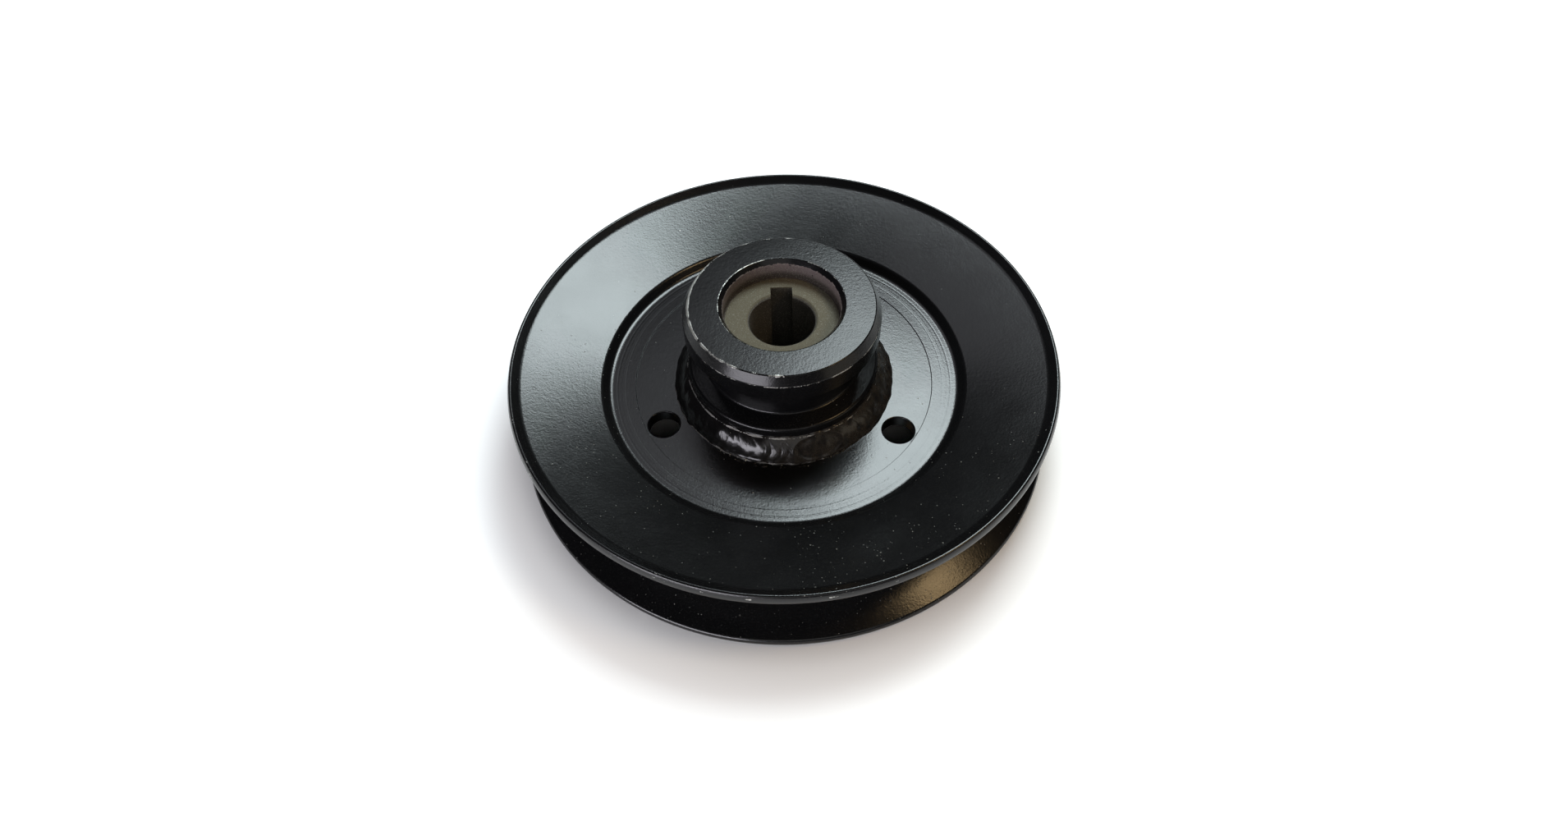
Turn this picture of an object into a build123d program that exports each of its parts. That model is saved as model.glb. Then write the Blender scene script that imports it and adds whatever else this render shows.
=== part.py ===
"""Welded single-groove V-belt pulley: a turned hub carrying two pressed sheet halves.

The origin is on the shaft axis at the groove's mid-plane. +Z runs along the shaft
towards the hub's nose, and the keyway is on the +Y side. Millimetres.
"""

import os
from math import cos, radians, tan

from build123d import *

os.makedirs("parts", exist_ok=True)

# Rim and groove
rim_radius = 81.0
groove_angle = 38.0
sheet = 2.3

# Pressed half, read along its outer face from the hub to the rim
web_edge_radius = 52.8
crest_radius = 54.8
crest_height = 4.7
lip_start_radius = 77.5
lip_end_radius = 80.0
lip_angle = 38.0
web_bend = 2.0
crest_bend = 1.2
lip_bend = 3.0
rim_round = 0.6

# Marks left on the web by the press tool
pad_radius = 45.0
pad_depth = 0.3
score_radius = 50.5
score_width = 0.9
score_depth = 0.12
faint_score_radius = 48.0
faint_score_width = 0.6
faint_score_depth = 0.08

# Web holes
web_hole_count = 3
web_hole_diameter = 9.4
web_hole_circle = 79.4
web_hole_start = 86.3
web_hole_break = 0.35

# Hub
hub_radius = 28.2
neck_radius = 23.0
spigot_radius = 25.4
hub_top = 33.7
hub_bottom = -9.0
nose_chamfer_height = 2.9
nose_face_radius = 26.5
collar_bottom = 25.1
neck_bottom = 13.0
shoulder_height = 11.4
shoulder_round = 1.0
neck_round = 0.8
collar_break = 0.4
spigot_chamfer = 1.0

# Bore, keyway and counterbore
bore_diameter = 19.05
bore_chamfer = 0.8
key_width = 6.35
key_floor_reach = 12.7
recess_radius = 16.7
recess_floor = 27.0
recess_mouth_radius = 17.9
recess_mouth_depth = 1.5

# Fillet welds
top_weld_leg = 5.0
top_weld_height = 6.8
bottom_weld_leg = 4.6
bottom_weld_height = 4.6
weld_bulge = 0.9

pad_height = sheet - pad_depth
flank_rise = tan(radians(groove_angle / 2))
lip_start_height = crest_height + (lip_start_radius - crest_radius) * flank_rise
lip_end_height = lip_start_height + (lip_end_radius - lip_start_radius) * tan(radians(lip_angle))


def groove_side(radius):
    """Height of the flank's groove side at a radius."""
    return crest_height + (radius - crest_radius) * flank_rise - sheet / cos(radians(groove_angle / 2))


def corner_at(radius, height):
    """Test that picks a section's corner at one radius and height."""
    return lambda corner: abs(corner.X - radius) < 0.01 and abs(corner.Y - height) < 0.01


def weld_ring(root_radius, face_height, leg, rise):
    """Fillet weld of revolution, its face bulging out midway between the two toes."""
    toe = (root_radius + leg, face_height)
    top = (root_radius, face_height + rise)
    length = (leg**2 + rise**2) ** 0.5
    crown = (
        root_radius + leg / 2 + weld_bulge * abs(rise) / length,
        face_height + rise / 2 + weld_bulge * leg / length * (1 if rise > 0 else -1),
    )
    with BuildPart() as ring:
        with BuildSketch(Plane.XZ):
            with BuildLine():
                Line((root_radius, face_height), toe)
                ThreePointArc(toe, crown, top)
                Line(top, (root_radius, face_height))
            make_face()
        revolve(axis=Axis.Z)
    return ring


# Pressed half above the mid-plane: one sheet, bent up into the groove flank, then the lip
with BuildPart() as upper_sheave_half:
    with BuildSketch(Plane.XZ) as sheave_section:
        with BuildLine():
            outer_face = FilletPolyline(
                (spigot_radius, sheet),
                (web_edge_radius, sheet),
                (crest_radius, crest_height),
                (lip_start_radius, lip_start_height),
                (lip_end_radius, lip_end_height),
                radius=[web_bend, crest_bend, lip_bend],
            )
            offset(outer_face, amount=sheet, side=Side.RIGHT, closed=True)
        make_face()
        with Locations((rim_radius / 2, 0)):
            Rectangle(rim_radius, 4 * lip_end_height, mode=Mode.INTERSECT)

        # The edge is upset in the press, so the groove side runs on straight under the lip
        with BuildLine():
            Polyline(
                (lip_start_radius, groove_side(lip_start_radius)),
                (rim_radius, groove_side(rim_radius)),
                (rim_radius, lip_start_height),
                (lip_start_radius, lip_start_height - sheet / 2),
                close=True,
            )
        make_face()
        fillet(
            sheave_section.vertices().filter_by(corner_at(rim_radius, groove_side(rim_radius))),
            rim_round,
        )
    revolve(axis=Axis.Z)

    # Tool marks: the pressed-down centre pad and two scored rings
    with BuildSketch(Plane.XY.offset(pad_height)):
        Circle(pad_radius)
    extrude(amount=pad_depth, mode=Mode.SUBTRACT)
    with BuildSketch(Plane.XZ):
        for radius, width, depth in (
            (score_radius, score_width, score_depth),
            (faint_score_radius, faint_score_width, faint_score_depth),
        ):
            with BuildLine():
                Polyline(
                    (radius - width / 2, sheet),
                    (radius, sheet - depth),
                    (radius + width / 2, sheet),
                    close=True,
                )
            make_face()
    revolve(axis=Axis.Z, mode=Mode.SUBTRACT)

    # Punched holes, their upper edges rolled over
    with Locations(Plane.XY.offset(pad_height)):
        with PolarLocations(web_hole_circle / 2, web_hole_count, start_angle=web_hole_start):
            Hole(web_hole_diameter / 2, depth=sheet)
    hole_edges = (
        upper_sheave_half.edges()
        .filter_by(GeomType.CIRCLE)
        .filter_by(lambda edge: abs(edge.radius - web_hole_diameter / 2) < 0.01)
        .filter_by(lambda edge: edge.center().Z > pad_height / 2)
    )
    fillet(hole_edges, web_hole_break)
upper_sheave_half.part.label = "upper_sheave_half"
export_step(upper_sheave_half.part, "parts/upper_sheave_half.step")

# The lower half is the same pressing turned over, its holes in line with the upper ones
with BuildPart() as lower_sheave_half:
    mirror(upper_sheave_half.part, about=Plane.XY)
lower_sheave_half.part.label = "lower_sheave_half"
export_step(lower_sheave_half.part, "parts/lower_sheave_half.step")

# Hub: one turning, with a collar, a waist, a shoulder that seats the halves, and a spigot
with BuildPart() as hub:
    with BuildSketch(Plane.XZ) as hub_section:
        with BuildLine():
            Polyline(
                (0, hub_bottom),
                (spigot_radius - spigot_chamfer, hub_bottom),
                (spigot_radius, hub_bottom + spigot_chamfer),
                (spigot_radius, pad_height),
                (hub_radius, pad_height),
                (hub_radius, shoulder_height),
                (neck_radius, neck_bottom),
                (neck_radius, collar_bottom),
                (hub_radius, collar_bottom),
                (hub_radius, hub_top - nose_chamfer_height),
                (nose_face_radius, hub_top),
                (0, hub_top),
                close=True,
            )
        make_face()

        fillet(
            hub_section.vertices().filter_by(corner_at(hub_radius, shoulder_height)),
            shoulder_round,
        )
        fillet(
            hub_section.vertices().filter_by(corner_at(neck_radius, neck_bottom))
            + hub_section.vertices().filter_by(corner_at(neck_radius, collar_bottom)),
            neck_round,
        )
        chamfer(
            hub_section.vertices().filter_by(corner_at(hub_radius, collar_bottom)),
            collar_break,
        )
    revolve(axis=Axis.Z)

    # Recess for the washer of the retaining bolt, its mouth chamfered
    with BuildSketch(Plane.XZ):
        with BuildLine():
            Polyline(
                (0, recess_floor),
                (recess_radius, recess_floor),
                (recess_radius, hub_top - recess_mouth_depth),
                (recess_mouth_radius, hub_top),
                (0, hub_top),
                close=True,
            )
        make_face()
    revolve(axis=Axis.Z, mode=Mode.SUBTRACT)

    # Bore, chamfered at both ends, then the keyway broached through its whole length
    with BuildSketch(Plane.XY.offset(hub_bottom)):
        Circle(bore_diameter / 2)
    extrude(amount=recess_floor - hub_bottom, mode=Mode.SUBTRACT)
    bore_edges = (
        hub.edges()
        .filter_by(GeomType.CIRCLE)
        .filter_by(lambda edge: abs(edge.radius - bore_diameter / 2) < 0.01)
    )
    chamfer(bore_edges, bore_chamfer)
    with BuildSketch(Plane.XY.offset(hub_bottom)):
        with Locations((0, key_floor_reach / 2)):
            Rectangle(key_width, key_floor_reach)
    extrude(amount=recess_floor - hub_bottom, mode=Mode.SUBTRACT)
hub.part.label = "hub"
export_step(hub.part, "parts/hub.step")

# Fillet welds round the hub, one on each side of the web
upper_weld = weld_ring(hub_radius, pad_height, top_weld_leg, top_weld_height)
upper_weld.part.label = "upper_weld"
export_step(upper_weld.part, "parts/upper_weld.step")

lower_weld = weld_ring(spigot_radius, -pad_height, bottom_weld_leg, -bottom_weld_height)
lower_weld.part.label = "lower_weld"
export_step(lower_weld.part, "parts/lower_weld.step")
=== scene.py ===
"""Looks of a welded V-belt pulley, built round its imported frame. Blender metres, +Z up the shaft."""

import random
from math import atan2, cos, exp, hypot, pi, radians, sin, tan

import bpy
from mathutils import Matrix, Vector
from mathutils.noise import noise as noise_at


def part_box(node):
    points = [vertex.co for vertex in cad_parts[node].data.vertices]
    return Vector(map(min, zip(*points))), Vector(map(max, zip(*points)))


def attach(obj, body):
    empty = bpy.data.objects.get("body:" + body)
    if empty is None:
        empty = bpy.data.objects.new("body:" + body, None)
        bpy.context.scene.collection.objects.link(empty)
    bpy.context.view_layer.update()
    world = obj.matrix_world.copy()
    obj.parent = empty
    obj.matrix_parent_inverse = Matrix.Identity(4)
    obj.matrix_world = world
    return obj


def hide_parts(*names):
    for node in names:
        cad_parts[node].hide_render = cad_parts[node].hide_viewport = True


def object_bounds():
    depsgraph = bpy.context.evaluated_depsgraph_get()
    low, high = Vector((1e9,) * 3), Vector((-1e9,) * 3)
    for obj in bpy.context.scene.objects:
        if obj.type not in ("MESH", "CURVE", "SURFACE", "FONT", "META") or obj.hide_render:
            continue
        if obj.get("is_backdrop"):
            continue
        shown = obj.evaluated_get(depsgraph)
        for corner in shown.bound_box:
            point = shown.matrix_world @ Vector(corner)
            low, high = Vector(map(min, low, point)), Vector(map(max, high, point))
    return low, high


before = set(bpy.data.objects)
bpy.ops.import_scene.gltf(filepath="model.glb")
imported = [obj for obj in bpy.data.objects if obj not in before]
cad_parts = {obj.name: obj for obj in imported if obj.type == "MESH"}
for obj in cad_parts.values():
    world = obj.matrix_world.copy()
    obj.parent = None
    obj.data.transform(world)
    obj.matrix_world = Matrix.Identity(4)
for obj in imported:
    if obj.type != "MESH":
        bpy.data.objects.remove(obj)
cad_box = [list(corner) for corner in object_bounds()]

# ---------------------------------------------------------------------------------------
# Hub. One steel turning with a nose collar, a waist, a shoulder and a spigot. It is cut from
# bar on a lathe, broached for its key, and painted with the recess and bore masked off.
# ---------------------------------------------------------------------------------------
mm = 0.001
hub_low, hub_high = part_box("hub")
hub_radius = hub_high.x
hub_nose = hub_high.z
spigot_radius = 25.4 * mm
neck_radius = 23.0 * mm
shoulder_foot = 2.0 * mm
shoulder_top = 11.4 * mm
neck_foot = 13.0 * mm
collar_foot = 25.1 * mm
recess_floor = 27.0 * mm
recess_radius = 16.7 * mm
bore_radius = 9.525 * mm
bore_chamfer = 0.8 * mm
key_width = 6.35 * mm
key_reach = 12.7 * mm
spigot_chamfer = 1.0 * mm
nose_edge_radius = 26.5 * mm
collar_edge = hub_nose - 2.9 * mm
recess_edge_radius = 17.9 * mm
recess_edge_depth = 1.5 * mm


def start_piece(name):
    """Names the object that has just been added."""
    piece = bpy.context.active_object
    piece.name = name
    piece.data.name = name
    return piece


def select_where(piece, test):
    """Selects, in edit mode, the vertices whose place passes the test."""
    bpy.ops.mesh.select_all(action="DESELECT")
    bpy.ops.object.mode_set(mode="OBJECT")
    for vertex in piece.data.vertices:
        vertex.select = test(vertex.co)
    bpy.ops.object.mode_set(mode="EDIT")


def turn(name, outline, steps):
    """Lathes a closed outline of (radius, height, corner setback, corner cuts) round the axis."""
    bpy.ops.object.select_all(action="DESELECT")
    bpy.ops.mesh.primitive_plane_add(size=1)
    piece = start_piece(name)
    bpy.ops.object.mode_set(mode="EDIT")
    bpy.ops.mesh.select_mode(type="VERT")
    bpy.ops.mesh.merge(type="CENTER")
    pen = Vector((0, 0, 0))
    for index, (radius, height, _, _) in enumerate(outline + outline[:1]):
        step = Vector((radius, 0, height)) - pen
        if index:
            bpy.ops.mesh.extrude_region_move(TRANSFORM_OT_translate={"value": step})
        else:
            bpy.ops.transform.translate(value=step)
        pen += step
    bpy.ops.mesh.select_all(action="SELECT")
    bpy.ops.mesh.remove_doubles(threshold=1e-6)
    for radius, height, setback, cuts in outline:
        if setback:
            corner = Vector((radius, 0, height))
            select_where(piece, lambda place: (place - corner).length < 1e-6)
            bpy.ops.mesh.bevel(offset=setback, offset_type="OFFSET", segments=cuts, affect="VERTICES")
    bpy.ops.mesh.select_all(action="SELECT")
    bpy.ops.mesh.spin(steps=steps, angle=2 * pi, center=(0, 0, 0), axis=(0, 0, 1))
    bpy.ops.mesh.select_all(action="SELECT")
    bpy.ops.mesh.remove_doubles(threshold=1e-6)
    bpy.ops.mesh.normals_make_consistent(inside=False)
    bpy.ops.object.mode_set(mode="OBJECT")
    return piece


def cut(piece, cutter):
    """Takes the cutter's shape out of the piece and removes the cutter."""
    bpy.ops.object.select_all(action="DESELECT")
    bpy.context.view_layer.objects.active = piece
    piece.select_set(True)
    bpy.ops.object.modifier_add(type="BOOLEAN")
    piece.modifiers[-1].object = cutter
    piece.modifiers[-1].operation = "DIFFERENCE"
    bpy.ops.object.modifier_apply(modifier=piece.modifiers[-1].name)
    bpy.data.objects.remove(cutter)
    bpy.ops.object.mode_set(mode="EDIT")
    bpy.ops.mesh.select_all(action="SELECT")
    bpy.ops.mesh.remove_doubles(threshold=1e-6)
    bpy.ops.mesh.fill_holes(sides=4)
    bpy.ops.object.mode_set(mode="OBJECT")


def smooth(piece, angle=35):
    """Shades the piece smooth up to an angle, with its flats kept flat."""
    bpy.ops.object.select_all(action="DESELECT")
    bpy.context.view_layer.objects.active = piece
    piece.select_set(True)
    bpy.ops.object.shade_smooth_by_angle(angle=radians(angle))
    bpy.ops.object.modifier_add(type="WEIGHTED_NORMAL")
    piece.modifiers[-1].keep_sharp = True
    bpy.ops.object.modifier_apply(modifier=piece.modifiers[-1].name)


hub_outline = [
    (bore_radius, hub_low.z + bore_chamfer, 0, 0),
    (bore_radius + bore_chamfer, hub_low.z, 0.1 * mm, 2),
    (spigot_radius - spigot_chamfer, hub_low.z, 0.2 * mm, 2),
    (spigot_radius, hub_low.z + spigot_chamfer, 0.2 * mm, 2),
    (spigot_radius, shoulder_foot, 0, 0),
    (hub_radius, shoulder_foot, 0, 0),
    (hub_radius, shoulder_top, 0.9 * mm, 6),
    (neck_radius, neck_foot, 0.7 * mm, 5),
    (neck_radius, collar_foot, 0.7 * mm, 5),
    (hub_radius, collar_foot, 0.5 * mm, 4),
    (hub_radius, collar_edge, 0.35 * mm, 4),
    (nose_edge_radius, hub_nose, 0.3 * mm, 4),
    (recess_edge_radius, hub_nose, 0.25 * mm, 3),
    (recess_radius, hub_nose - recess_edge_depth, 0.15 * mm, 2),
    (recess_radius, recess_floor, 0.3 * mm, 3),
    (bore_radius + bore_chamfer, recess_floor, 0.1 * mm, 2),
    (bore_radius, recess_floor - bore_chamfer, 0, 0),
]
hub = turn("turned_hub", hub_outline, steps=288)
bpy.ops.object.select_all(action="DESELECT")
bpy.ops.mesh.primitive_cube_add(size=1, location=(0, key_reach / 2, recess_floor / 2))
keyway = start_piece("keyway_cutter")
keyway.scale = (key_width, key_reach, recess_floor - 3 * hub_low.z)
bpy.ops.object.transform_apply(location=True, scale=True)
cut(hub, keyway)
smooth(hub)


def shader_group(name, inputs, outputs):
    """An empty node group with float inputs and their defaults, and named float outputs."""
    group = bpy.data.node_groups.new(name, "ShaderNodeTree")
    for title, value in inputs.items():
        socket = group.interface.new_socket(title, in_out="INPUT", socket_type="NodeSocketFloat")
        socket.default_value = value
    for title in outputs:
        group.interface.new_socket(title, in_out="OUTPUT", socket_type="NodeSocketFloat")
    return group, group.nodes.new("NodeGroupInput").outputs, group.nodes.new("NodeGroupOutput").inputs


def add(tree, kind, settings=None, **links):
    """Adds a node. Each link names an input, or in_N its number, and gives a socket or a value."""
    node = tree.nodes.new("ShaderNode" + kind)
    for title, value in (settings or {}).items():
        setattr(node, title, value)
    for title, value in links.items():
        key = int(title[3:]) if title.startswith("in_") else title.replace("_", " ")
        if isinstance(value, bpy.types.NodeSocket):
            tree.links.new(value, node.inputs[key])
        else:
            node.inputs[key].default_value = value
    return node


def maths(tree, operation, *values):
    """A Math node's result."""
    links = {f"in_{index}": value for index, value in enumerate(values)}
    return add(tree, "Math", {"operation": operation}, **links).outputs[0]


def ramp(tree, value, low, high, start=0.0, end=1.0):
    """Eases from start to end as the value goes from low to high."""
    links = {"Value": value, "From_Min": low, "From_Max": high, "To_Min": start, "To_Max": end}
    return add(tree, "MapRange", {"interpolation_type": "SMOOTHSTEP"}, **links).outputs[0]


def polar(tree):
    """The place on the piece: its Object coordinates, its radius and its height."""
    place = add(tree, "TexCoord").outputs["Object"]
    parts = add(tree, "SeparateXYZ", in_0=place).outputs
    flat = add(tree, "CombineXYZ", X=parts[0], Y=parts[1]).outputs[0]
    radius = add(tree, "VectorMath", {"operation": "LENGTH"}, in_0=flat).outputs["Value"]
    return place, radius, parts[2]


def dot(tree, place, heading):
    """How far a place lies along a heading."""
    settings = {"operation": "DOT_PRODUCT"}
    return add(tree, "VectorMath", settings, in_0=place, in_1=heading).outputs["Value"]


def noise(tree, place, scale, detail=2.0, roughness=0.5):
    """Noise from 0 to 1."""
    return add(tree, "TexNoise", Vector=place, Scale=scale, Detail=detail, Roughness=roughness).outputs[0]


# A worn edge: 1 on the ring of one radius and height, fading out over a width, broken up by
# noise into chips. Cover says how much of the ring has lost its paint, and Bias adds to it on
# the side that Heading points to.
edge_chips, ports, results = shader_group(
    "edge_chips",
    {"Radius": 0.08, "Height": 0.0, "Width": 0.0006, "Cover": 0.5, "Heading": 0.0, "Bias": 0.0},
    ["Mask"],
)
place, radius, height = polar(edge_chips)
off_radius = maths(edge_chips, "SUBTRACT", radius, ports["Radius"])
off_height = maths(edge_chips, "SUBTRACT", height, ports["Height"])
off_line = add(edge_chips, "CombineXYZ", X=off_radius, Y=off_height).outputs[0]
distance = add(edge_chips, "VectorMath", {"operation": "LENGTH"}, in_0=off_line).outputs["Value"]
near = ramp(edge_chips, maths(edge_chips, "DIVIDE", distance, ports["Width"]), 0.0, 1.0, 1.0, 0.0)
heading = add(
    edge_chips, "CombineXYZ",
    X=maths(edge_chips, "COSINE", ports["Heading"]), Y=maths(edge_chips, "SINE", ports["Heading"]),
).outputs[0]
facing = dot(edge_chips, place, heading)
facing = maths(edge_chips, "MULTIPLY", maths(edge_chips, "DIVIDE", facing, radius), ports["Bias"])
grain = maths(edge_chips, "MULTIPLY", noise(edge_chips, place, 2200.0, 3.0, 0.6), 0.4)
patches = maths(edge_chips, "MULTIPLY", noise(edge_chips, place, 240.0, 2.0), 0.6)
worn = maths(edge_chips, "ADD", maths(edge_chips, "ADD", grain, patches), facing)
worn = maths(edge_chips, "MULTIPLY", worn, near)
limit = maths(edge_chips, "SUBTRACT", 1.0, ports["Cover"])
past_limit = maths(edge_chips, "SUBTRACT", worn, limit)
edge_chips.links.new(ramp(edge_chips, past_limit, 0.0, 0.03), results["Mask"])

# Dust and paint nibs: small round specks, no two alike, in a share of a random pattern's cells.
specks, ports, results = shader_group("specks", {"Scale": 600.0, "Size": 0.12, "Share": 0.4}, ["Mask"])
place, _, _ = polar(specks)
bent = noise(specks, place, 3200.0, 1.0)
cells = add(specks, "TexVoronoi", Vector=place, Scale=ports["Scale"])
chosen = add(specks, "SeparateColor", in_0=cells.outputs["Color"]).outputs
size = maths(specks, "MULTIPLY", chosen[1], chosen[1])
size = maths(specks, "MULTIPLY", ports["Size"], maths(specks, "ADD", size, 0.25))
size = maths(specks, "MULTIPLY", size, ramp(specks, bent, 0.3, 0.7, 0.5, 1.5))
inside = maths(specks, "LESS_THAN", cells.outputs["Distance"], size)
faint = ramp(specks, chosen[2], 0.0, 1.0, 0.3, 1.0)
inside = maths(specks, "MULTIPLY", inside, faint)
in_share = maths(specks, "LESS_THAN", chosen[0], ports["Share"])
specks.links.new(maths(specks, "MULTIPLY", inside, in_share), results["Mask"])

# Orange peel: the fine pebbling of sprayed paint, with a coarser leathery roll under it.
orange_peel, ports, results = shader_group("orange_peel", {"Scale": 1400.0, "Leather": 0.5}, ["Height"])
place, _, _ = polar(orange_peel)
pebbles = noise(orange_peel, place, ports["Scale"], 1.0, 0.5)
roll = noise(orange_peel, place, maths(orange_peel, "MULTIPLY", ports["Scale"], 0.4), 1.0, 0.6)
roll = maths(orange_peel, "MULTIPLY", roll, ports["Leather"])
orange_peel.links.new(maths(orange_peel, "ADD", pebbles, roll), results["Height"])


def use(tree, group, **values):
    """Places a shader group and returns its first output."""
    node = tree.nodes.new("ShaderNodeGroup")
    node.node_tree = group
    for title, value in values.items():
        if isinstance(value, bpy.types.NodeSocket):
            tree.links.new(value, node.inputs[title])
        else:
            node.inputs[title].default_value = value
    return node.outputs[0]


def blend_colour(tree, factor, under, over):
    """One colour laid over another by a mask."""
    node = add(tree, "Mix", {"data_type": "RGBA"}, in_0=factor)
    for index, colour in ((6, under), (7, over)):
        if isinstance(colour, bpy.types.NodeSocket):
            tree.links.new(colour, node.inputs[index])
        else:
            node.inputs[index].default_value = (*colour, 1)
    return node.outputs[2]


def blend_value(tree, factor, under, over):
    """One number laid over another by a mask."""
    return add(tree, "Mix", {"data_type": "FLOAT"}, in_0=factor, in_2=under, in_3=over).outputs[0]


black = (0.0042, 0.0042, 0.0046)
dust_grey = (0.2, 0.2, 0.18)
grain_and_sparkle_grey = (0.016, 0.016, 0.0155)
chipped_steel = (0.5, 0.49, 0.46)


def black_paint(name, gloss, peel, depth, leather, chips, dust):
    """Black paint with orange peel, dust, a fine lighter grain that is partly painted sparkle, and edges
    chipped to bare steel.
    """
    material = bpy.data.materials.new(name)
    material.use_nodes = True
    tree = material.node_tree
    shader = tree.nodes["Principled BSDF"]
    shader.inputs["IOR"].default_value = 1.5
    place, _, _ = polar(tree)
    bare = use(tree, edge_chips, **chips[0])
    for ring in chips[1:]:
        bare = maths(tree, "MAXIMUM", bare, use(tree, edge_chips, **ring))
    clusters = ramp(tree, noise(tree, place, 38.0, 2.0), 0.42, 0.62, 0.2, 1.0)
    forward = dot(tree, place, (-0.3, -1.0, 0.0))
    clusters = maths(tree, "MULTIPLY", clusters, ramp(tree, forward, -20 * mm, 70 * mm, 0.07, 1.0))
    share = maths(tree, "MULTIPLY", clusters, dust)
    dusty = use(tree, specks, Scale=950.0, Size=0.14, Share=share)
    upward = add(tree, "SeparateXYZ", in_0=add(tree, "NewGeometry").outputs["Normal"]).outputs[2]
    dusty = maths(tree, "MULTIPLY", dusty, ramp(tree, upward, 0.1, 0.6))
    patches = noise(tree, place, 90.0, 2.0, 0.6)
    darker = tuple(0.75 * part for part in black)
    colour = blend_colour(tree, patches, darker, black)
    # Fine lighter grain, stronger towards the front: partly grain in the paint, partly painted sparkle that
    # stands for tiny highlights.
    grain_and_sparkle = ramp(tree, noise(tree, place, 2900.0, 1.0, 0.7), 0.56, 0.72)
    grain_and_sparkle = maths(tree, "MULTIPLY", grain_and_sparkle, ramp(tree, forward, -40 * mm, 60 * mm, 0.15, 0.9))
    colour = blend_colour(tree, grain_and_sparkle, colour, grain_and_sparkle_grey)
    colour = blend_colour(tree, dusty, colour, dust_grey)
    colour = blend_colour(tree, bare, colour, chipped_steel)
    roughness = ramp(tree, patches, 0.3, 0.7, gloss - 0.012, gloss + 0.012)
    roughness = blend_value(tree, dusty, roughness, 0.8)
    roughness = blend_value(tree, bare, roughness, 0.4)
    relief = use(tree, orange_peel, Scale=peel, Leather=leather)
    relief = maths(tree, "ADD", relief, maths(tree, "MULTIPLY", dusty, 0.5))
    relief = maths(tree, "SUBTRACT", relief, maths(tree, "MULTIPLY", bare, 0.6))
    bump = add(tree, "Bump", Strength=1.0, Distance=depth, Height=relief)
    tree.links.new(colour, shader.inputs["Base Color"])
    tree.links.new(roughness, shader.inputs["Roughness"])
    tree.links.new(maths(tree, "MULTIPLY", bare, 0.85), shader.inputs["Metallic"])
    tree.links.new(bump.outputs[0], shader.inputs["Normal"])
    return material


def finish_with(piece, material):
    """Gives the piece one material."""
    piece.data.materials.clear()
    piece.data.materials.append(material)


def worn_ring(radius, height, width, cover, heading, bias):
    """The values of one chipped edge, worn most towards a heading in degrees."""
    return {
        "Radius": radius, "Height": height, "Width": width,
        "Cover": cover, "Heading": radians(heading), "Bias": bias,
    }


hub_paint = black_paint(
    "hub_paint", gloss=0.235, peel=1700.0, depth=0.024 * mm, leather=0.9, dust=0.5,
    chips=[
        worn_ring(nose_edge_radius, hub_nose, 1.7 * mm, cover=0.47, heading=180, bias=0.14),
        worn_ring(hub_radius, collar_edge, 0.8 * mm, cover=0.44, heading=-72, bias=0.09),
        worn_ring(recess_edge_radius, hub_nose, 0.6 * mm, cover=0.5, heading=140, bias=0.04),
    ],
)

# The recess and the bore are bare: turned rings on the recess floor, turned lines up its wall,
# and straight broach marks down the bore. The paint's edge is ragged where the mask ended.
tree = hub_paint.node_tree
shader = tree.nodes["Principled BSDF"]
place, radius, height = polar(tree)
ragged = maths(tree, "MULTIPLY", maths(tree, "SUBTRACT", noise(tree, place, 900.0, 3.0, 0.6), 0.5), 0.8 * mm)
masked_to = ramp(tree, height, 20 * mm, 21 * mm, key_reach + 0.5 * mm, recess_radius + 0.15 * mm)
inside = maths(tree, "SUBTRACT", masked_to, maths(tree, "ADD", radius, ragged))
bare_steel = ramp(tree, inside, -0.05 * mm, 0.05 * mm)
in_bore = ramp(tree, height, recess_floor - 0.6 * mm, recess_floor - 0.3 * mm, 1.0, 0.0)
on_wall = ramp(tree, radius, recess_radius - 0.5 * mm, recess_radius - 0.2 * mm)
rings = add(
    tree, "TexWave", {"wave_type": "RINGS", "rings_direction": "Z"},
    Vector=place, Scale=820.0, Distortion=1.5, Detail=2.0, Detail_Scale=0.5,
).outputs[1]
lines = add(
    tree, "TexWave", {"wave_type": "BANDS", "bands_direction": "Z"},
    Vector=place, Scale=600.0, Distortion=1.0, Detail=2.0, Detail_Scale=0.4,
).outputs[1]
drawn_out = add(tree, "Mapping", Vector=place, Scale=(1.0, 1.0, 0.03)).outputs[0]
broached = noise(tree, drawn_out, 2400.0, 2.0, 0.6)
sparkle = noise(tree, place, 4200.0, 2.0, 0.7)
relief = blend_value(tree, on_wall, rings, lines)
relief = blend_value(tree, in_bore, relief, maths(tree, "MULTIPLY", broached, 3.0))
relief = maths(tree, "ADD", relief, maths(tree, "MULTIPLY", sparkle, 2.5))
steel_bump = add(tree, "Bump", Strength=1.0, Distance=0.005 * mm, Height=relief).outputs[0]
# The recess wall is painted darker at its foot, next to the floor: painted shade in the recess's corner.
up_wall = ramp(tree, height, recess_floor + 1.2 * mm, recess_floor + 3.4 * mm)
shaded_wall_foot, wall_top = (0.05, 0.04, 0.034), (0.14, 0.112, 0.107)
floor_steel, bore_steel, steel_glint = (0.14, 0.125, 0.088), (0.085, 0.078, 0.068), (0.36, 0.345, 0.29)
steel = blend_colour(tree, on_wall, floor_steel, blend_colour(tree, up_wall, shaded_wall_foot, wall_top))
steel = blend_colour(tree, in_bore, steel, bore_steel)
steel = blend_colour(tree, ramp(tree, sparkle, 0.57, 0.72), steel, steel_glint)
painted = shader.inputs["Base Color"].links[0].from_socket
tree.links.new(blend_colour(tree, bare_steel, painted, steel), shader.inputs["Base Color"])
paint_bump = shader.inputs["Normal"].links[0].from_socket
either = add(tree, "Mix", {"data_type": "VECTOR"}, in_0=bare_steel, in_4=paint_bump, in_5=steel_bump)
tree.links.new(either.outputs[1], shader.inputs["Normal"])
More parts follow.
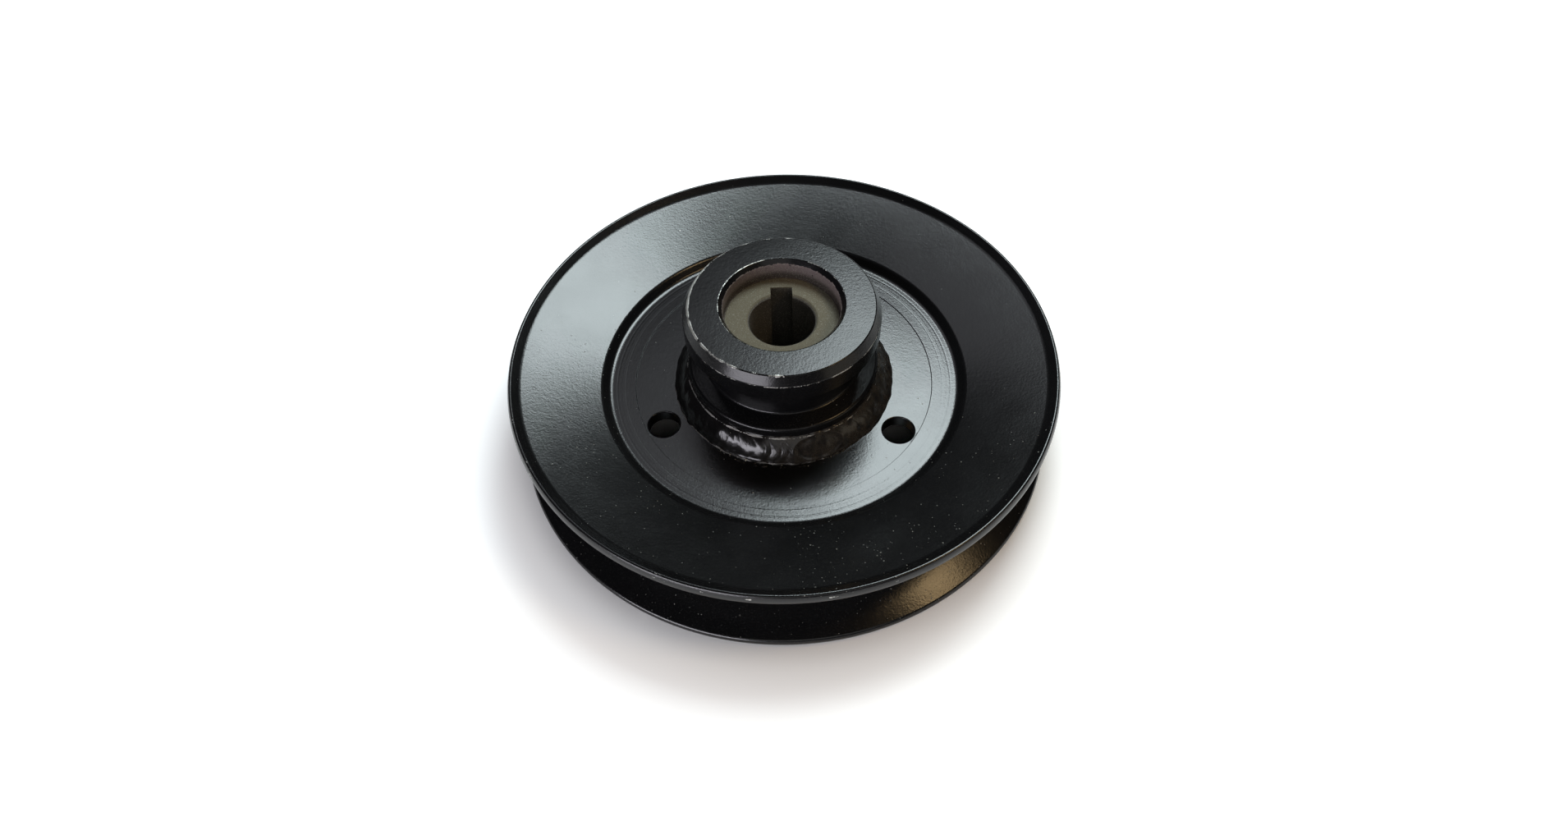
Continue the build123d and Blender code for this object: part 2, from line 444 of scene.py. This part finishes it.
for title, bare_look in (("Roughness", 0.8), ("Metallic", 0.05)):
    painted_look = shader.inputs[title].links[0].from_socket
    tree.links.new(blend_value(tree, bare_steel, painted_look, bare_look), shader.inputs[title])
shader.inputs["IOR"].default_value = 1.38
finish_with(hub, hub_paint)
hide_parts("hub")
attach(hub, "root")

# ---------------------------------------------------------------------------------------
# Pressed halves. Each is one disc of sheet steel, pressed into a web, a groove flank and a
# turned-up lip, punched with three holes, and marked by the press pad. The pair is painted.
# ---------------------------------------------------------------------------------------
sheet = 2.3 * mm
rim_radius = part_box("upper_sheave_half")[1].x
lip_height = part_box("upper_sheave_half")[1].z
pad_height = 2.0 * mm
lip_end = 80.0 * mm
hole_count = 3
hole_radius = 4.7 * mm
hole_rollover = 0.4 * mm
hole_ring = 39.7 * mm
first_hole = 86.3


def pressed_half(name, side):
    """One pressed half: side is 1 above the groove's mid-plane and -1 below it."""
    flank = radians(19)
    lip = radians(38)
    web_edge, crest, crest_height = 52.8 * mm, 54.8 * mm, 4.7 * mm
    lip_start = 77.5 * mm
    lip_start_height = crest_height + (lip_start - crest) * tan(flank)
    wall = atan2(crest_height - sheet, crest - web_edge)

    def inner(radius, height, before, after):
        """The point one sheet thickness inside a bend between two slopes."""
        middle = (before + after) / 2
        reach = sheet / cos((after - before) / 2)
        return radius + reach * sin(middle), height - reach * cos(middle)

    groove_web = inner(web_edge, sheet, 0, wall)
    groove_crest = inner(crest, crest_height, wall, flank)
    rim_low = groove_crest[1] + (rim_radius - groove_crest[0]) * tan(flank)
    rim_high = lip_height - (rim_radius - lip_end) / tan(lip)
    outline = [
        (spigot_radius, 0, 0, 0),
        (*groove_web, 1.9 * mm, 6),
        (*groove_crest, 0.9 * mm, 6),
        (rim_radius, rim_low, 0.8 * mm, 8),
        (rim_radius, rim_high, 1.0 * mm, 8),
        (lip_end, lip_height, 0.6 * mm, 6),
        (lip_start, lip_start_height, 0.5 * mm, 6),
        (crest, crest_height, 0.55 * mm, 6),
        (web_edge, sheet, 0.9 * mm, 6),
        (50.9 * mm, sheet, 0.1 * mm, 2),
        (50.6 * mm, sheet - 0.03 * mm, 0.14 * mm, 3),
        (50.3 * mm, sheet, 0.1 * mm, 2),
        (48.3 * mm, sheet, 0.08 * mm, 2),
        (48.1 * mm, sheet - 0.015 * mm, 0.1 * mm, 3),
        (47.9 * mm, sheet, 0.08 * mm, 2),
        (45.1 * mm, sheet, 0.04 * mm, 2),
        (44.95 * mm, pad_height, 0.04 * mm, 2),
        (spigot_radius, pad_height, 0, 0),
    ]
    outline = [(radius, side * height, *corner) for radius, height, *corner in outline]
    half = turn(name, outline, steps=320)
    for index in range(hole_count):
        angle = radians(first_hole + 360 / hole_count * index)
        place = Vector((hole_ring * cos(angle), hole_ring * sin(angle), 0))
        shank = 5 * mm
        top = pad_height - hole_rollover
        middle = place + Vector((0, 0, side * (top - shank / 2)))
        bpy.ops.object.select_all(action="DESELECT")
        bpy.ops.mesh.primitive_cylinder_add(vertices=72, radius=hole_radius, depth=shank, location=middle)
        punch = start_piece("hole_punch")
        bpy.ops.object.transform_apply(location=True)
        bpy.ops.object.mode_set(mode="EDIT")
        bpy.ops.mesh.select_mode(type="VERT")
        select_where(punch, lambda point: abs(point.z - side * top) < 1e-6)
        width = hole_radius
        for lower, upper in ((0, 25), (25, 50), (50, 80)):
            wider = width + hole_rollover * (cos(radians(lower)) - cos(radians(upper)))
            rise = hole_rollover * (sin(radians(upper)) - sin(radians(lower)))
            bpy.ops.mesh.extrude_region_move(TRANSFORM_OT_translate={"value": (0, 0, side * rise)})
            scale = wider / width
            bpy.ops.transform.resize(value=(scale, scale, 1), center_override=place)
            width = wider
        bpy.ops.mesh.extrude_region_move(TRANSFORM_OT_translate={"value": (0, 0, side * 2 * mm)})
        bpy.ops.mesh.select_all(action="SELECT")
        bpy.ops.mesh.normals_make_consistent(inside=False)
        bpy.ops.object.mode_set(mode="OBJECT")
        cut(half, punch)
    smooth(half)
    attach(half, "root")
    return half


def sheave_paint(name, side):
    """The paint of one half, worn along its rim and the lip's inner edge."""
    rim = side * (lip_height - 1.2 * mm)
    lip_edge = side * lip_height
    material = black_paint(
        name, gloss=0.22, peel=1700.0, depth=0.022 * mm, leather=0.7, dust=1.0,
        chips=[
            worn_ring(rim_radius, rim, 1.3 * mm, cover=0.42, heading=-135, bias=0.05),
            worn_ring(lip_end, lip_edge, 1.1 * mm, cover=0.42, heading=-135, bias=0.05),
        ],
    )

    # Rings that the press tool rubbed into the web, strongest just inside the wall
    tree = material.node_tree
    shader = tree.nodes["Principled BSDF"]
    _, radius, _ = polar(tree)
    on_radius = add(tree, "CombineXYZ", X=radius).outputs[0]
    rings = noise(tree, on_radius, 1500.0, 2.0, 0.7)
    by_the_wall = ramp(tree, radius, 47 * mm, 49.5 * mm)
    by_the_hub = ramp(tree, radius, 33 * mm, 47 * mm, 0.1, 0.0)
    on_the_web = ramp(tree, radius, 52 * mm, 53 * mm, 1.0, 0.0)
    strength = maths(tree, "MULTIPLY", maths(tree, "ADD", by_the_wall, by_the_hub), on_the_web)
    pressed = maths(tree, "MULTIPLY", rings, strength)
    marks = add(tree, "Bump", Strength=1.0, Distance=0.05 * mm, Height=pressed)
    tree.links.new(shader.inputs["Normal"].links[0].from_socket, marks.inputs["Normal"])
    tree.links.new(marks.outputs[0], shader.inputs["Normal"])
    return material


upper_half = pressed_half("upper_pressed_half", 1)
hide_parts("upper_sheave_half")
finish_with(upper_half, sheave_paint("upper_sheave_paint", 1))
lower_half = pressed_half("lower_pressed_half", -1)
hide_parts("lower_sheave_half")
finish_with(lower_half, sheave_paint("lower_sheave_paint", -1))

# ---------------------------------------------------------------------------------------
# Welds. A fillet bead runs round the hub on each side of the web. It is laid clockwise in one
# pass, so its crescent ripples end in a smooth crater where the pass meets its own start.
# ---------------------------------------------------------------------------------------
def wander(angle, seed):
    """Slow unevenness round the bead, from about -1 to 1."""
    waves = (5, 9, 16, 27, 41)
    return sum(sin(count * angle + seed * count) for count in waves) / 2.5


def weld_bead(name, root_radius, face, leg, rise, crater, seed):
    """A rippled fillet bead from the web's face up the hub, or down it where rise is negative."""
    side = 1 if rise > 0 else -1
    length = hypot(leg, rise)
    outward = Vector((abs(rise) / length, 0, side * leg / length))
    along = Vector((leg / length, 0, -rise / length))
    top = Vector((root_radius, 0, face + rise))
    cuts = 26
    ripple_pitch, ripple_depth, crescent = 2.3 * mm, 0.045 * mm, 3.2 * mm
    bulge = 0.55 * mm
    crater_length = 7.5 * mm
    bite = 0.05 * mm
    outline = [(root_radius - bite, face - side * bite, 0, 0)]
    for index in range(cuts + 1):
        place = top + along * length * (1 - index / cuts)
        outline.append((place.x, place.z, 0, 0))
    outline[1] = (outline[1][0], face - side * bite, 0, 0)
    outline.append((root_radius - bite, face + rise, 0, 0))
    bead = turn(name, outline, steps=1080)
    middle_radius = root_radius + leg / 2
    for vertex in bead.data.vertices:
        radius = hypot(vertex.co.x, vertex.co.y)
        if radius < root_radius - 0.01 * mm:
            continue
        angle = atan2(vertex.co.y, vertex.co.x)
        across = max(0, min(1, (Vector((radius, 0, vertex.co.z)) - top).dot(along) / length))
        crown = 1 - (2 * across - 1) ** 2
        run = angle * middle_radius
        off = (angle - crater + pi) % (2 * pi) - pi
        distance = hypot(off * middle_radius, 2 * (across - 0.5) * length)
        in_crater = max(0, min(1, (crater_length - distance) / (1.5 * mm)))
        phase = (run - crescent * crown + 0.5 * mm * wander(angle, seed)) / ripple_pitch
        groove = abs(phase % 1 - 0.5) * 2
        ring = abs(distance / (1.6 * mm) % 1 - 0.5) * 2
        mark = groove**3 * (1 - in_crater) * (0.8 + 0.4 * wander(angle, seed + 2))
        mark += 0.3 * ring**4 * in_crater
        lip = 0.06 * mm * exp(-(((distance - crater_length) / (0.4 * mm)) ** 2))
        lump = noise_at(vertex.co * 500) * 0.055 * mm + noise_at(vertex.co * 1500) * 0.015 * mm
        ridge = 0.1 * mm * exp(-(((across - 0.93) / 0.05) ** 2)) * (1 + wander(angle, seed + 5))
        lift = crown * (bulge + 0.1 * mm * wander(angle, seed + 1)) + ridge
        lift += lip + lump * (1 - 0.7 * in_crater) * crown**0.5
        lift -= crown**0.5 * ripple_depth * mark + 0.25 * mm * in_crater * crown
        toe = 0.16 * mm * wander(angle, seed + 3) * across**3
        rim = 0.16 * mm * wander(angle, seed + 4) * (1 - across) ** 3
        new_radius = radius + outward.x * lift + toe
        vertex.co.z += outward.z * lift + side * rim
        vertex.co.x *= new_radius / radius
        vertex.co.y *= new_radius / radius
    return bead


def add_spatter(bead, radius_range, face, side, arc, count, seed):
    """Small balls of spatter that stuck to the web along the bead's toe, joined to the bead."""
    chance = random.Random(seed)
    balls = []
    for _ in range(count):
        angle = chance.uniform(*arc)
        reach = chance.uniform(*radius_range)
        size = chance.uniform(0.12, 0.34) * mm
        place = (reach * cos(angle), reach * sin(angle), face + side * size * 0.4)
        bpy.ops.object.select_all(action="DESELECT")
        bpy.ops.mesh.primitive_ico_sphere_add(subdivisions=2, radius=size, location=place)
        ball = start_piece("spatter")
        ball.scale = (1, chance.uniform(0.8, 1.2), 0.8)
        bpy.ops.object.transform_apply(location=True, scale=True)
        balls.append(ball)
    bpy.ops.object.select_all(action="DESELECT")
    for ball in balls:
        ball.select_set(True)
    bead.select_set(True)
    bpy.context.view_layer.objects.active = bead
    bpy.ops.object.join()


upper_bead = weld_bead(
    "upper_weld_bead", hub_radius, pad_height,
    leg=5.0 * mm, rise=6.8 * mm, crater=radians(-72), seed=1.3,
)
add_spatter(
    upper_bead, (33.0 * mm, 34.4 * mm), pad_height, side=1,
    arc=(radians(-125), radians(-55)), count=46, seed=5,
)
smooth(upper_bead, 60)
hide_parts("upper_weld")
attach(upper_bead, "root")
lower_bead = weld_bead(
    "lower_weld_bead", spigot_radius, -pad_height,
    leg=4.6 * mm, rise=-4.6 * mm, crater=radians(40), seed=4.1,
)
add_spatter(
    lower_bead, (29.9 * mm, 31.0 * mm), -pad_height, side=-1,
    arc=(radians(0), radians(110)), count=24, seed=8,
)
smooth(lower_bead, 60)
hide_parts("lower_weld")
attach(lower_bead, "root")
weld_paint = black_paint(
    "weld_paint", gloss=0.16, peel=1200.0, depth=0.01 * mm, leather=1.0, dust=0.4,
    chips=[
        worn_ring(33.2 * mm, pad_height, 1.8 * mm, cover=0.55, heading=-108, bias=0.09),
        worn_ring(28.7 * mm, 8.4 * mm, 1.0 * mm, cover=0.46, heading=-108, bias=0.12),
    ],
)

# The paint is thin over the bead, so brown scale shows through in patches. The brown grows towards the right
# and the crater's end, where it is partly a painted warm reflection of the lamp on that side. Fine crescents
# lie close together between the big ripples.
tree = weld_paint.node_tree
shader = tree.nodes["Principled BSDF"]
place, _, height = polar(tree)
parts = add(tree, "SeparateXYZ", in_0=place).outputs
angle = maths(tree, "ARCTAN2", parts[1], parts[0])
across = ramp(tree, height, 8.8 * mm, pad_height)
crown = maths(tree, "MULTIPLY", across, maths(tree, "SUBTRACT", 1.0, across))
crown = maths(tree, "MULTIPLY", crown, 4.0)
unsteady = maths(tree, "MULTIPLY", noise(tree, place, 260.0, 2.0), 4.0)
phase = maths(tree, "MULTIPLY", angle, 44.0)
phase = maths(tree, "SUBTRACT", phase, maths(tree, "MULTIPLY", crown, 3.6))
phase = maths(tree, "FRACT", maths(tree, "ADD", phase, unsteady))
crescents = maths(tree, "POWER", maths(tree, "ABSOLUTE", maths(tree, "SUBTRACT", phase, 0.5)), 2.0)
fine_patches = ramp(tree, noise(tree, place, 160.0, 1.0), 0.4, 0.6, -0.15, -1.0)
ripple_height = maths(tree, "MULTIPLY", crescents, fine_patches)
fine_ripples = add(tree, "Bump", Strength=1.0, Distance=0.035 * mm, Height=ripple_height)
paint_bump = shader.inputs["Normal"].links[0].from_socket
tree.links.new(paint_bump, fine_ripples.inputs["Normal"])
tree.links.new(fine_ripples.outputs[0], shader.inputs["Normal"])
scale_and_warm_tint_brown = (0.020, 0.0155, 0.011)
# Brown grows towards the right, the side the warm lamp lights: that part of it is a painted warm reflection,
# the patches are scale.
warm_side = ramp(tree, dot(tree, place, (0.9, -0.35, 0.0)), -5 * mm, 20 * mm, 0.12, 1.0)
scale_patches = ramp(tree, noise(tree, place, 420.0, 3.0, 0.6), 0.3, 0.65, 0.25, 1.0)
scale_and_warm_tint = maths(tree, "MULTIPLY", scale_patches, warm_side)
painted = shader.inputs["Base Color"].links[0].from_socket
tree.links.new(blend_colour(tree, scale_and_warm_tint, painted, scale_and_warm_tint_brown), shader.inputs["Base Color"])
gloss = shader.inputs["Roughness"].links[0].from_socket
tree.links.new(blend_value(tree, scale_and_warm_tint, gloss, 0.28), shader.inputs["Roughness"])
finish_with(upper_bead, weld_paint)
finish_with(lower_bead, weld_paint)

# ---------------------------------------------------------------------------------------
# Camera, floor and lights: a small table-top studio. The camera looks down on the pulley from
# the front, and soft panels and one small warm lamp stand round it over a pale floor.
# ---------------------------------------------------------------------------------------
camera_pitch = 52.66
camera_roll = -1.61
bpy.ops.object.camera_add(location=(-0.00018, -0.18306, 0.22401))
camera = bpy.context.active_object
camera.rotation_mode = "ZYX"
camera.rotation_euler = (radians(90 - camera_pitch), 0, radians(camera_roll))
camera.data.sensor_width = 36
camera.data.lens = 21.57
camera.data.clip_start = 0.01
bpy.context.scene.camera = camera

bpy.ops.mesh.primitive_plane_add(size=60, location=(0, 0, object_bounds()[0][2]))
floor = start_piece("floor")
floor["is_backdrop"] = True
floor_material = bpy.data.materials.new("pale_floor")
floor_material.use_nodes = True
floor_shader = floor_material.node_tree.nodes["Principled BSDF"]
floor_shader.inputs["Base Color"].default_value = (0.9, 0.9, 0.9, 1)
floor_shader.inputs["Roughness"].default_value = 0.8
floor_shader.inputs["Emission Color"].default_value = (1, 1, 1, 1)

# The floor glows a little, but not under the pulley, and looks whiter further out
tree = floor_material.node_tree
_, radius, _ = polar(tree)
clear_of_pulley = ramp(tree, radius, 0.9 * rim_radius, 1.3 * rim_radius, 0.0, 0.35)
far_out = ramp(tree, radius, rim_radius, 4 * rim_radius, 0.15, 0.6)
far_out = maths(tree, "MULTIPLY", far_out, ramp(tree, radius, 0.95 * rim_radius, 1.1 * rim_radius))
far_out = maths(tree, "MULTIPLY", far_out, add(tree, "LightPath").outputs["Is Camera Ray"])
glow = maths(tree, "ADD", clear_of_pulley, far_out)
tree.links.new(glow, floor_shader.inputs["Emission Strength"])
floor.data.materials.append(floor_material)


def softbox(name, place, width, depth, glow, tint):
    """A square-on light panel that faces the pulley. Its glow is its radiance."""
    bpy.ops.object.light_add(type="AREA", location=place)
    panel = bpy.context.active_object
    panel.name = name
    panel.rotation_mode = "QUATERNION"
    panel.rotation_quaternion = Vector(place).to_track_quat("Z", "Y")
    panel.data.shape = "RECTANGLE"
    panel.data.size = width
    panel.data.size_y = depth
    panel.data.energy = glow * pi * width * depth
    panel.data.color = tint
    panel.visible_camera = False


softbox("window_panel", (0.13, 0.29, 0.51), 0.27, 0.23, 13.5, (0.86, 0.98, 1.0))
softbox("warm_lamp", (0.175, -0.078, 0.260), 0.07, 0.07, 8.5, (1.0, 0.7, 0.36))
softbox("ceiling_panel", (-0.12, 0.50, 0.84), 0.9, 0.47, 0.72, (0.93, 0.93, 1.0))
softbox("low_window", (-0.46, -0.66, 0.16), 0.62, 0.26, 9.0, (0.94, 0.92, 1.0))
softbox("front_fill", (0.10, -0.62, 0.52), 0.6, 0.35, 0.7, (1.0, 0.98, 0.95))
softbox("side_wall", (0.75, -0.45, 0.18), 0.6, 0.3, 0.8, (1.0, 0.9, 0.72))

world = bpy.data.worlds.new("studio")
world.use_nodes = True
seen = add(world.node_tree, "LightPath").outputs["Is Camera Ray"]
sky = blend_colour(world.node_tree, seen, (0.02, 0.02, 0.022), (1.0, 1.0, 1.0))
world.node_tree.links.new(sky, world.node_tree.nodes["Background"].inputs["Color"])
bpy.context.scene.world = world
bpy.context.scene.view_settings.view_transform = "Standard"

size = {"cad": cad_box, "visual": [list(corner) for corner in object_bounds()]}
